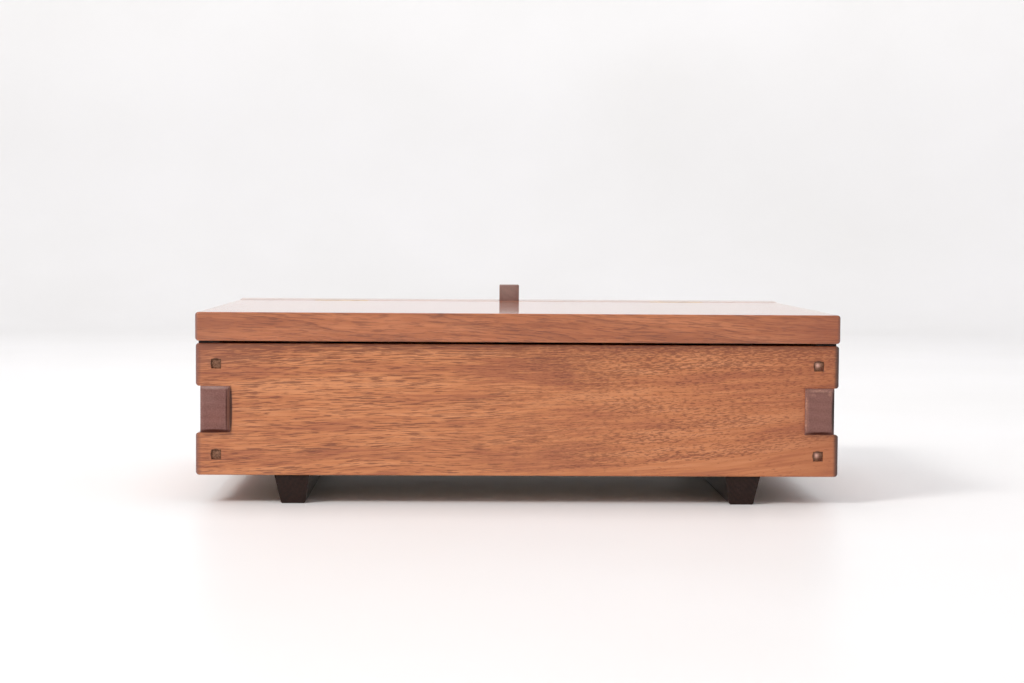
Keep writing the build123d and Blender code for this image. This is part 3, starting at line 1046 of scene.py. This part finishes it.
@dataclass
class Case:
    """The case: four boards locked by square pegs, a bottom, two runners and the lid's stop key."""

    finger_low_mm: float = 38.65
    finger_high_mm: float = 63.85
    front_mm: float = -117.25
    tip_mm: float = -119.0
    peg_mm: float = 5.2

    def dress(self) -> None:
        """Dresses the boards, pegs, bottom, runners and stop."""
        self.dress_boards()
        self.dress_small_pieces()

    def dress_boards(self) -> None:
        """Gives each board its own cut of the walnut."""
        # Half-size of the painted shade round each peg hole.
        hole_shade_size = (self.peg_mm * 0.56, 12.0, self.peg_mm * 0.56)
        front = Cut(
            Grain.ALONG_X,
            heart_mm=(-90.0, -260.0),
            lean=-0.012,
            shift_mm=40.0,
            figure=0.25,
            wander_mm=7.0,
            short_pores_mm=(-70.0, 110.0),
            calm_under_mm=278.5,
            swirls=(
                Patch((210.0, self.front_mm, 20.0), (139.0, 60.0, 60.0), -18.0),
                Patch((-60.0, self.front_mm, 30.0), (60.0, 60.0, 30.0), -3.0),
            ),
            streaky=(
                Patch((0.0, self.front_mm, 88.0), (900.0, 40.0, 8.0), 0.09),
                Patch((-175.0, self.front_mm, 84.0), (60.0, 40.0, 14.0), 0.06),
                Patch((60.0, self.front_mm, 76.0), (90.0, 40.0, 12.0), 0.04),
            ),
            stains_and_shading=(
                # A darker band along the top edge: painted shade under the lid's overhang.
                Patch((0.0, self.front_mm, 88.5), (900.0, 40.0, 4.5), 0.55, "#80422e", ragged=0.8),
                Patch((190.0, self.front_mm, 40.0), (110.0, 40.0, 60.0), 0.25, "#a85a34"),
                Patch((188.0, self.front_mm, 50.0), (38.0, 40.0, 90.0), 0.5, "#8e4c2e"),
                Patch((-188.0, self.front_mm, 50.0), (34.0, 40.0, 90.0), 0.4, "#9a583c"),
                Patch((-185.0, self.front_mm, 82.0), (40.0, 40.0, 10.0), 0.3, "#7d4a41"),
                # A near-black line beside the left finger: a painted shadow in the gap of its joint.
                Patch((-155.9, self.front_mm, 51.3), (0.8, 9.0, 12.6), 0.9, "#3f1a0a", crisp=6.0),
                # The end roundings: on the right painted shade; on the left the purple-brown of end
                # grain, kept paler as the lit side.
                Patch((174.6, self.front_mm, 51.0), (2.2, 9.0, 90.0), 0.9, "#3f2a26", crisp=2.0),
                Patch((-174.6, self.front_mm, 51.0), (2.2, 9.0, 90.0), 0.6, "#70463d", crisp=2.0),
                # Near-black edges round each peg hole, offset up and left: painted shade on the hole's
                # walls.
                *(
                    Patch((x - 0.25, self.front_mm, z + 0.25), hole_shade_size, 0.85, "#2c0f06", crisp=8.0)
                    for x, z in self.peg_places()
                ),
            ),
        )
        dress("front_board", WALNUT.material("front", front))
        back = Cut(Grain.ALONG_X, heart_mm=(70.0, -210.0), lean=0.02, shift_mm=700.0)
        dress("back_board", LID_WALNUT.material("back", back))
        left = Cut(
            Grain.ALONG_Y,
            heart_mm=(150.0, -160.0),
            lean=0.03,
            shift_mm=1300.0,
            stains_and_shading=self.left_finger_tone_and_painted_shade(),
        )
        dress("left_side_board", SIDE_WALNUT.material("left_side", left))
        right = Cut(
            Grain.ALONG_Y,
            heart_mm=(-150.0, -190.0),
            lean=-0.03,
            shift_mm=1900.0,
            stains_and_shading=self.right_finger_wear_and_painted_light(),
        )
        dress("right_side_board", SIDE_WALNUT.material("right_side", right))

    def peg_places(self) -> list[tuple[float, float]]:
        """The middles of the four front pegs, as X and Z in millimetres."""
        low, high = box_mm("corner_pegs_front")
        inset = self.peg_mm / 2
        return [
            (x, z)
            for x in (low[0] + inset, high[0] - inset)
            for z in (low[2] + inset, high[2] - inset)
        ]

    def left_finger_tone_and_painted_shade(self) -> tuple[Patch, ...]:
        """The left front finger: a painted highlight on its top bevel, two blotches of tone on its face,
        painted shade on its inner and lower bevels, and a painted shadow in its joint.
        """
        tip, low, high = self.tip_mm, self.finger_low_mm, self.finger_high_mm
        middle = (low + high) / 2
        return (
            Patch((-165.0, tip, high - 0.7), (10.0, 6.0, 1.0), 0.6, "#a98f87", 0.8, 2.0),
            Patch((-168.0, tip, high - 7.0), (4.0, 6.0, 4.0), 0.3, "#94756c", 1.0),
            Patch((-164.0, tip, low + 8.0), (5.0, 6.0, 5.0), 0.35, "#8f5b4e", 1.0),
            Patch((-157.0, tip, middle), (0.75, 6.0, 13.0), 0.75, "#7e5240", 0.0, 3.0),
            Patch((-158.1, tip, middle), (0.35, 6.0, 12.4), 0.9, "#3c150b", 0.4, 2.0),
            Patch((-156.0, tip, middle), (0.5, 6.0, 13.0), 0.95, "#3c1608", 0.0, 2.0),
            Patch((-164.4, tip, low + 0.6), (9.2, 6.0, 1.5), 0.96, "#471a0c", 0.0, 3.0),
        )

    def right_finger_wear_and_painted_light(self) -> tuple[Patch, ...]:
        """The right front finger: a darker tone on its face, pale left and top bevels that are partly
        wear and partly painted highlight, and painted shade on its lower and outer bevels.
        """
        tip, low, high = self.tip_mm, self.finger_low_mm, self.finger_high_mm
        middle = (low + high) / 2
        return (
            Patch((164.0, tip, middle), (12.0, 6.0, 16.0), 0.25, "#936a5f"),
            Patch((157.3, tip, middle), (1.3, 6.0, 15.0), 0.45, "#a87a66", 1.6, 2.0),
            Patch((156.9, tip, middle + 4.0), (0.7, 6.0, 5.0), 0.95, "#d19c80", 2.0, 2.0),
            Patch((156.8, tip, middle - 6.5), (0.8, 6.0, 5.0), 0.9, "#c8937a", 2.0, 2.0),
            Patch((163.5, tip, high - 1.2), (8.0, 6.0, 0.9), 0.9, "#c89a82", 2.0, 2.0),
            Patch((160.3, tip, high - 3.4), (2.2, 6.0, 1.1), 0.7, "#bb8d79", 2.0, 2.0),
            Patch((169.6, tip, high - 2.8), (1.5, 6.0, 1.9), 0.8, "#c79680", 2.0, 2.0),
            Patch((172.0, tip, middle - 0.8), (1.4, 6.0, 13.5), 0.95, "#2c1b17", 0.0, 3.0),
            Patch((164.8, tip, low + 0.5), (8.6, 6.0, 1.3), 0.97, "#42180a", 0.3, 3.0),
        )

    def dress_small_pieces(self) -> None:
        """Dresses the pegs in walnut with painted highlight and shade on the right pegs' facets, the
        stop key in walnut, the runners in dark wood with painted shade, the panel in ply.
        """
        # The right pegs' pyramid heads: a painted highlight on the upper-left facet and painted shade on
        # the lower-right one.
        painted_facet_light = [
            Patch((x + way, self.front_mm, z - way * 0.9), (1.15, 9.0, 1.3), 0.85, colour)
            for x, z in self.peg_places()
            if x > 0
            for way, colour in ((-0.8, "#d3a394"), (1.5, "#5c2b1f"))
        ]
        pegs = PEG_WALNUT.material(
            "pegs", Cut(Grain.ALONG_Y, (0.0, 0.0), shift_mm=30.0, stains_and_shading=tuple(painted_facet_light))
        )
        dress("corner_pegs_front", pegs)
        dress("corner_pegs_back", pegs)
        side_pegs = PEG_WALNUT.material("side_pegs", Cut(Grain.ALONG_X, (0.0, 0.0), shift_mm=60.0))
        dress("corner_pegs_left", side_pegs)
        dress("corner_pegs_right", side_pegs)
        runners = SHADED_DARK_WOOD.material("runners", Cut(Grain.ALONG_Y, (0.0, -80.0), shift_mm=10.0))
        dress("left_runner", runners)
        dress("right_runner", runners)
        # Paler and greyer towards the top of the stop key.
        paler_top = Patch((-2.0, 103.8, 113.0), (12.0, 9.0, 9.0), 0.45, "#b39a90")
        stop = WALNUT.material(
            "stop", Cut(Grain.ALONG_Y, (60.0, 0.0), shift_mm=10.0, stains_and_shading=(paler_top,))
        )
        dress("lid_stop", stop)
        panel = Cut(Grain.ALONG_X, heart_mm=(30.0, -180.0), lean=0.12)
        dress("bottom_panel", PLYWOOD.material("bottom", panel))


@dataclass
class Lid:
    """The lid slab with its two battens."""

    def dress(self) -> None:
        """Gives the slab a flat-sawn cut, whose rings slope down to the right across its edge."""
        slab = Cut(
            Grain.ALONG_X,
            heart_mm=(-30.0, -50.0),
            lean=0.13,
            shift_mm=260.0,
            fibre_follow=0.3,
            stains_and_shading=(
                # The end roundings: on the right painted shade; on the left a paler purple-brown, as the
                # lit side.
                Patch((175.0, -119.0, 96.0), (1.5, 8.0, 14.0), 0.8, "#3c2a27", crisp=2.0),
                Patch((-175.0, -119.0, 96.0), (1.5, 8.0, 14.0), 0.7, "#6f4d47", crisp=2.0),
                Patch((176.0, -119.0, 96.0), (36.0, 8.0, 14.0), 0.7, "#8e4a2e"),
                Patch((-178.0, -119.0, 96.0), (30.0, 8.0, 14.0), 0.45, "#92543a"),
            ),
        )
        dress("lid_panel", LID_WALNUT.material("lid", slab))
        for side, shift in (("left", 0.0), ("right", 400.0)):
            cut = Cut(Grain.ALONG_Y, heart_mm=(0.0, -60.0), lean=0.02, shift_mm=shift)
            dress(f"{side}_lid_batten", THIN_WALNUT.material(f"{side}_batten", cut))


@dataclass
class Brass:
    """The hinges, pins and screws."""

    nodes: tuple[str, ...] = ("batten_screws", "runner_screws") + tuple(
        f"{side}_hinge_{part}"
        for side in ("left", "right")
        for part in ("case_leaf", "lid_leaf", "pin", "case_screws", "lid_screws")
    )

    def dress(self) -> None:
        """Dresses them all in one brushed brass."""
        material = BrassFinish().material()
        for node in self.nodes:
            dress(node, material)


@dataclass
class Felt:
    """The three felt linings, each cut to size and laid flat."""

    linings: tuple[tuple[str, str, str], ...] = (
        ("bottom_lining", "case", "bottom_panel"),
        ("tray_left_lining", "tray", "tray_base"),
        ("tray_right_lining", "tray", "tray_base"),
    )
    step_mm: float = 1.6
    ripple_mm: float = 0.12

    def build(self) -> None:
        """Lays every lining."""
        finish = FELT.material()
        for node, body, under in self.linings:
            self.lay(node, body, finish)

    def lay(self, node: str, body: str, finish: bpy.types.Material) -> None:
        """Makes one lining as a thin sheet with a soft cut edge.

        Its top is at the CAD top less a ripple, the sum of two crossed sines, and less a fall-off at the
        edge, which is the ripple's height times e to minus the way in from the edge in millimetres.

        Args:
            node: the CAD node that it stands for.
            body: the body that it rides on.
            finish: the felt.
        """
        low, high = box_mm(node)
        size, thick = high - low, high[2] - low[2]
        columns, rows = (int(size[i] / self.step_mm) + 2 for i in (0, 1))
        across = np.linspace(low[0], high[0], columns)[None, :]
        away = np.linspace(low[1], high[1], rows)[:, None]
        ripple = 0.5 + 0.25 * np.sin(across / 9 + away / 23) + 0.25 * np.sin(away / 11 - across / 31)
        inwards = np.minimum(
            np.minimum(across - low[0], high[0] - across), np.minimum(away - low[1], high[1] - away)
        )
        top = high[2] - self.ripple_mm * ripple - 2 * self.ripple_mm * np.exp(-inwards)
        points = np.stack(np.broadcast_arrays(across, away, top), axis=-1).reshape(-1, 3)
        piece = new_piece(f"felt_{node}", points, grid_faces(rows, columns, closed=False), finish)
        solid = piece.modifiers.new("thickness", "SOLIDIFY")
        solid.thickness = (thick - 3 * self.ripple_mm) * MM
        solid.offset = -1.0
        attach(piece, body)
        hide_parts(node)
        LOG.info("laid %s, %.0f x %.0f mm", piece.name, size[0], size[1])


@dataclass
class RingRolls:
    """The five padded rolls that hold rings between them: foam strips under velvet."""

    count: int = 5
    voxel_mm: float = 1.7
    frames: int = 20
    swell_mm: float = 1.2
    slack: float = 0.035
    pressure: float = 4.0
    glued_under_mm: float = 1.2
    widest: float = 0.38

    def build(self) -> None:
        """Pads one roll, then lays it in each place, every other one turned end for end."""
        finish = VELVET.material()
        low, high = box_mm("ring_roll_1")
        shape, faces = self.padded_shape(high - low)
        for number in range(1, self.count + 1):
            low, high = box_mm(f"ring_roll_{number}")
            turn = np.array([1.0, 1.0, 1.0]) if number % 2 else np.array([-1.0, -1.0, 1.0])
            middle = (low + high) / 2 * np.array([1.0, 1.0, 0.0]) + np.array([0.0, 0.0, low[2]])
            piece = new_piece(f"padded_ring_roll_{number}", shape * turn + middle, faces, finish)
            smooth = piece.modifiers.new("smooth", "SUBSURF")
            smooth.levels = smooth.render_levels = 1
            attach(piece, "tray")
            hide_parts(f"ring_roll_{number}")
            LOG.info("padded %s", piece.name)

    def blank(self, size: np.ndarray) -> tuple[np.ndarray, list[tuple[int, ...]]]:
        """Works out the foam strip before it is covered.

        Round the section, at angle t, the half width is |cos t| to the power 0.75, and the height is
        |sin t| to the power 0.8 above the widest place and to the power 0.35 under it, so the foot is
        flat. Along the roll, at share a of its half length, the section shrinks by the eighth root of
        one less a to the eighth power, so the ends are full but soft.

        Args:
            size: the roll's length, width and height in millimetres.

        Returns:
            Its vertices, about the middle of its foot, and its faces.
        """
        length, width, height = size
        share = np.sin(np.linspace(-np.pi / 2, np.pi / 2, 60))[1:-1, None]
        turn = np.linspace(0, 2 * np.pi, 48, endpoint=False)[None, :]
        girth = (1 - np.abs(share) ** 8) ** (1 / 8)
        side = np.sign(np.cos(turn)) * np.abs(np.cos(turn)) ** 0.75
        rise = np.where(
            np.sin(turn) >= 0,
            (1 - self.widest) * np.abs(np.sin(turn)) ** 0.8,
            -self.widest * np.abs(np.sin(turn)) ** 0.35,
        )
        points = np.stack(
            np.broadcast_arrays(
                share * length / 2, side * girth * width / 2, (self.widest + rise * girth) * height
            ),
            axis=-1,
        )
        rings, sides = points.shape[:2]
        middle = self.widest * height
        poles = np.array([[-length / 2, 0, middle], [length / 2, 0, middle]])
        faces: list[tuple[int, ...]] = [face[::-1] for face in grid_faces(rings, sides, closed=True)]
        first, last, row = rings * sides, rings * sides + 1, (rings - 1) * sides
        faces += [(first, i, (i + 1) % sides)[::-1] for i in range(sides)]
        faces += [(last, row + (i + 1) % sides, row + i)[::-1] for i in range(sides)]
        return np.concatenate([points.reshape(-1, 3), poles]), faces

    def padded_shape(self, size: np.ndarray) -> tuple[np.ndarray, list[tuple[int, ...]]]:
        """Covers the foam strip: a slack cloth skin, glued at the foot, is blown out over it.

        Args:
            size: the roll's length, width and height in millimetres.

        Returns:
            The covered roll's vertices, about the middle of its foot, and its faces.
        """
        points, faces = self.blank(size * np.array([0.985, 0.93, 0.95]))
        skin = new_piece("roll_skin", points, faces, bpy.data.materials.new("skin"))
        remesh = skin.modifiers.new("even", "REMESH")
        remesh.mode, remesh.voxel_size = "VOXEL", self.voxel_mm * MM
        even = bpy.data.meshes.new_from_object(
            skin.evaluated_get(bpy.context.evaluated_depsgraph_get())
        )
        skin.modifiers.clear()
        skin.data = even
        before = self.coordinates(even)
        self.blow_out(skin, before)
        after = self.coordinates(skin.data)
        moved = after - before
        far = np.maximum(np.linalg.norm(moved, axis=1, keepdims=True), 1e-9)
        shape = before + moved * np.minimum(1.0, self.swell_mm / far)
        low, high = shape.min(0), shape.max(0)
        shape = (shape - low) / (high - low) * size - size * np.array([0.5, 0.5, 0.0])
        loops = np.zeros(len(even.polygons) * 4, np.int32)
        even.polygons.foreach_get("vertices", loops)
        bpy.data.objects.remove(skin)
        return shape, [tuple(face) for face in loops.reshape(-1, 4).tolist()]

    def coordinates(self, mesh: bpy.types.Mesh) -> np.ndarray:
        """The mesh's vertices in millimetres, one row each."""
        flat = np.zeros(len(mesh.vertices) * 3, np.float32)
        mesh.vertices.foreach_get("co", flat)
        return flat.reshape(-1, 3).astype(float) / MM

    def blow_out(self, skin: bpy.types.Object, points: np.ndarray) -> None:
        """Runs the cloth simulation on the skin and leaves its result in the mesh.

        Args:
            skin: the evenly meshed skin.
            points: its vertices in millimetres.
        """
        glued = skin.vertex_groups.new(name="glued")
        glued.add(np.flatnonzero(points[:, 2] < self.glued_under_mm).tolist(), 1.0, "REPLACE")
        cloth = skin.modifiers.new("cloth", "CLOTH")
        cloth.settings.vertex_group_mass = "glued"
        cloth.settings.use_pressure = True
        cloth.settings.uniform_pressure_force = self.pressure
        cloth.settings.shrink_min = -self.slack
        cloth.settings.effector_weights.gravity = 0.0
        cloth.settings.quality = 5
        scene = bpy.context.scene
        for step in range(1, self.frames + 1):
            scene.frame_set(step)
        result = bpy.data.meshes.new_from_object(
            skin.evaluated_get(bpy.context.evaluated_depsgraph_get())
        )
        skin.modifiers.clear()
        skin.data = result
        scene.frame_set(1)


@dataclass
class RimLeather:
    """Leather on the case's rim: four dots that the lid comes down on. Between them, along both side
    boards, lie thin near-black strips, which paint in the shade inside the gap under the lid."""

    radius_mm: float = 4.0
    strip_mm: float = 1.05
    corner_mm: float = 1.2
    strip_inner_mm: float = 161.5
    strip_outer_mm: float = 171.0
    end_outer_mm: float = 173.6
    end_inset_mm: float = 1.3
    front_joint_mm: tuple[float, float] = (-101.5, -101.2)
    back_mm: float = 99.5
    dot_gap_mm: float = 1.5
    sides: int = 40
    out: tuple[float, ...] = (0.0, 0.55, 0.9, 0.985, 1.0, 0.99, 0.94, 0.8, 0.45, 0.0)
    up: tuple[float, ...] = (0.0, 0.0, 0.0, 0.05, 0.3, 0.62, 0.86, 0.97, 1.0, 1.0)

    def build(self) -> None:
        """Makes the dots as one piece and the near-black strips, painted shade for the gap, as another.
        """
        finish = LeatherFinish().material()
        # Near-black finish for the strips, which paint in the shade of the gap under the lid.
        dull = LeatherFinish("gap_shade_sheet", pale="#2b1a13", dark="#1a0f0b").material()
        low, high = box_mm("lid_bumpers")
        thick = high[2] - low[2]
        dots = [
            (x, y, 0.0, 0.0)
            for x in (low[0] + self.radius_mm, high[0] - self.radius_mm)
            for y in (low[1] + self.radius_mm, high[1] - self.radius_mm)
        ]
        piece = self.cut("leather_dots", dots, self.radius_mm, thick, low[2], finish)
        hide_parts("lid_bumpers")
        inner = high[1] - 2 * self.radius_mm - self.dot_gap_mm
        edge = high[1] + self.dot_gap_mm
        front = Case.front_mm + self.end_inset_mm
        strips = []
        for side in (-1, 1):
            strips.append(self.strip(side, self.end_outer_mm, (front, self.front_joint_mm[0])))
            for away in ((self.front_joint_mm[1], -edge), (-inner, inner), (edge, self.back_mm)):
                strips.append(self.strip(side, self.strip_outer_mm, away))
        self.cut("gap_shade_strips", strips, self.corner_mm, self.strip_mm, low[2], dull)

    def strip(
        self, side: int, outer: float, away: tuple[float, float]
    ) -> tuple[float, float, float, float]:
        """One strip's middle and half its straight sides, in millimetres.

        Args:
            side: -1 on the left and 1 on the right.
            outer: how far its outer edge is from the middle of the box.
            away: its front and back edge along Y.

        Returns:
            X and Y of its middle, and half its straight sides along X and Y.
        """
        return (
            side * (self.strip_inner_mm + outer) / 2,
            (away[0] + away[1]) / 2,
            (outer - self.strip_inner_mm) / 2 - self.corner_mm,
            (away[1] - away[0]) / 2 - self.corner_mm,
        )

    def cut(
        self,
        name: str,
        patches: Sequence[tuple[float, float, float, float]],
        radius: float,
        thick: float,
        floor: float,
        finish: bpy.types.Material,
    ) -> bpy.types.Object:
        """Makes patches with pressed edges as one piece, for the leather dots and for the near-black
        strips of painted shade.

        Args:
            name: the piece's name.
            patches: for each, X and Y of its middle and half its straight sides.
            radius: the corners' radius.
            thick: the leather's thickness.
            floor: the height it lies at.
            finish: the leather, which for the strips is a near-black painted shade.

        Returns:
            The piece, which rides on the case.
        """
        all_points: list[np.ndarray] = []
        all_faces: list[tuple[int, ...]] = []
        for x, y, half_x, half_y in patches:
            points, faces = revolve(
                np.array(self.out) * radius,
                np.array(self.up) * thick,
                self.sides,
                (x, y, floor),
                (half_x, half_y),
            )
            first = sum(len(p) for p in all_points)
            all_points.append(points)
            all_faces += [tuple(first + i for i in face) for face in faces]
        piece = new_piece(name, np.concatenate(all_points), all_faces, finish)
        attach(piece, "case")
        LOG.info("made %s", piece.name)
        return piece


@dataclass
class Dividers:
    """The half-lapped dividers and the ledges that carry the tray."""

    def dress(self) -> None:
        """Dresses them in thin walnut, each from its own place in the log."""
        for number in (1, 2):
            cut = Cut(Grain.ALONG_Y, heart_mm=(20.0, -90.0), lean=0.03, shift_mm=500.0 * number)
            dress(f"cross_divider_{number}", THIN_WALNUT.material(f"divider_{number}", cut))
        pieces = ("long_divider", "front_tray_ledge", "back_tray_ledge")
        for number, node in enumerate(pieces):
            cut = Cut(Grain.ALONG_X, heart_mm=(10.0, -120.0), lean=0.03, shift_mm=300.0 * number)
            dress(node, THIN_WALNUT.material(node, cut))


@dataclass
class Tray:
    """The sliding tray's walls, base and partitions."""

    along_x: tuple[str, ...] = ("tray_front_wall", "tray_back_wall", "tray_cross_partition")
    along_y: tuple[str, ...] = ("tray_left_wall", "tray_right_wall", "tray_short_partition")

    def dress(self) -> None:
        """Dresses the walls in thin walnut with the grain along each, and the base in plywood."""
        for grain, nodes in ((Grain.ALONG_X, self.along_x), (Grain.ALONG_Y, self.along_y)):
            for number, node in enumerate(nodes):
                cut = Cut(grain, heart_mm=(40.0, -70.0), lean=0.04, shift_mm=260.0 * number)
                dress(node, THIN_WALNUT.material(node, cut))
        base = Cut(Grain.ALONG_X, heart_mm=(-40.0, -150.0), lean=0.1, shift_mm=500.0)
        dress("tray_base", PLYWOOD.material("tray_base", base))


@dataclass
class Lamp:
    """One soft light: where it hangs, how wide it is, and how strong and warm."""

    name: str
    place: Triple
    width: float
    watts: float
    colour: str
    aim: Triple = (0.0, 0.0, 0.05)


@dataclass
class Studio:
    """A pale seamless bowl, soft lights, and the camera at the photograph's viewing angle."""

    camera_place: Triple = (-0.03329, -1.25210, 0.14496)
    camera_turn: Triple = (87.1651, -0.3731, -1.4729)
    lens: float = 73.63
    floor_radius: float = 2.0
    cove_radius: float = 0.8
    wall_height: float = 2.6
    sky_colour: str = "#fbfbff"
    sky_strength: float = 0.66
    lamps: tuple[Lamp, ...] = field(
        default=(
            Lamp("key", (-1.4, -1.2, 1.6), 0.7, 34.0, "#fffdfa"),
            Lamp("fill", (1.5, -1.3, 0.9), 1.4, 3.5, "#f9faff"),
            Lamp("top", (0.0, 0.2, 2.2), 1.8, 13.5, "#ffffff"),
            Lamp("wall_wash", (0.0, 0.9, 1.9), 1.6, 13.0, "#ffffff", (0.0, 2.8, 0.35)),
        )
    )

    def build(self) -> None:
        """Sets up the bowl, the lights, the sky and the camera."""
        self.bowl()
        for lamp in self.lamps:
            self.hang(lamp)
        self.sky()
        self.camera()
        bpy.context.scene.view_settings.view_transform = "Standard"

    def bowl(self) -> None:
        """Makes the backdrop by turning an L with a rounded corner about the Z axis.

        The corner's points are at the floor's radius plus the cove's radius times sin a, and at the
        cove's radius times one less cos a, for a from nil to a right angle.
        """
        angle = np.linspace(0, np.pi / 2, 24)
        cove = self.floor_radius + self.cove_radius * np.sin(angle)
        radius = np.concatenate([[0.0, 0.3, 0.8], cove, [cove[-1]]])
        height = np.concatenate(
            [[0.0, 0.0, 0.0], self.cove_radius * (1 - np.cos(angle)), [self.wall_height]]
        )
        turn = np.linspace(0, 2 * np.pi, 96, endpoint=False)
        points = np.stack(
            np.broadcast_arrays(
                radius[:, None] * np.cos(turn), radius[:, None] * np.sin(turn), height[:, None]
            ),
            axis=-1,
        ).reshape(-1, 3)
        faces = [face[::-1] for face in grid_faces(len(radius), len(turn), closed=True)]
        floor = new_piece("floor", points / MM, faces, self.plaster())

    def plaster(self) -> bpy.types.Material:
        """The backdrop's paint: nearly white, matt, and a touch uneven."""
        material, tree = blank_material("pale_backdrop")
        place = add_node(tree, "TexCoord")
        uneven = add_node(
            tree,
            "TexNoise",
            inputs={"Vector": place.outputs["Object"], "Scale": 2.5, "Detail": 3.0},
        )
        colour = add_node(
            tree,
            "ValToRGB",
            {"stops": ((0.3, linear("#e4e3e2")), (0.7, linear("#e9e8e8")))},
            {0: uneven.outputs[0]},
        )
        finish_surface(
            tree, {"Base Color": colour.outputs[0], "Roughness": 0.4, "Specular IOR Level": 0.5}
        )
        return material

    def hang(self, lamp: Lamp) -> None:
        """Hangs one lamp and turns it to what it lights.

        Args:
            lamp: the lamp.
        """
        light = bpy.data.lights.new(lamp.name, "AREA")
        light.shape, light.size, light.energy = "DISK", lamp.width, lamp.watts
        light.color = linear(lamp.colour)[:3]
        hanging = bpy.data.objects.new(lamp.name, light)
        bpy.context.scene.collection.objects.link(hanging)
        hanging.location = lamp.place
        aim = Vector(lamp.aim) - Vector(lamp.place)
        hanging.rotation_euler = aim.to_track_quat("-Z", "Y").to_euler()

    def sky(self) -> None:
        """Fills the room with an even pale light."""
        world = bpy.data.worlds.new("soft_room")
        bpy.context.scene.world = world
        world.use_nodes = True
        background = world.node_tree.nodes["Background"]
        background.inputs["Color"].default_value = linear(self.sky_colour)
        background.inputs["Strength"].default_value = self.sky_strength

    def camera(self) -> None:
        """Places the camera where the photograph was taken from."""
        data = bpy.data.cameras.new("camera")
        data.lens, data.sensor_width = self.lens, 36.0
        camera = bpy.data.objects.new("camera", data)
        bpy.context.scene.collection.objects.link(camera)
        camera.location = self.camera_place
        camera.rotation_euler = [math.radians(t) for t in self.camera_turn]
        bpy.context.scene.camera = camera


def main() -> None:
    """Builds and dresses every sub-assembly."""
    logging.basicConfig(level=logging.INFO, format="%(name)s: %(message)s")
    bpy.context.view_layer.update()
    Case().dress()
    Lid().dress()
    Brass().dress()
    Dividers().dress()
    Tray().dress()
    Felt().build()
    RimLeather().build()
    RingRolls().build()
    Studio().build()
    bpy.context.view_layer.update()


if __name__ == "__main__":
    main()
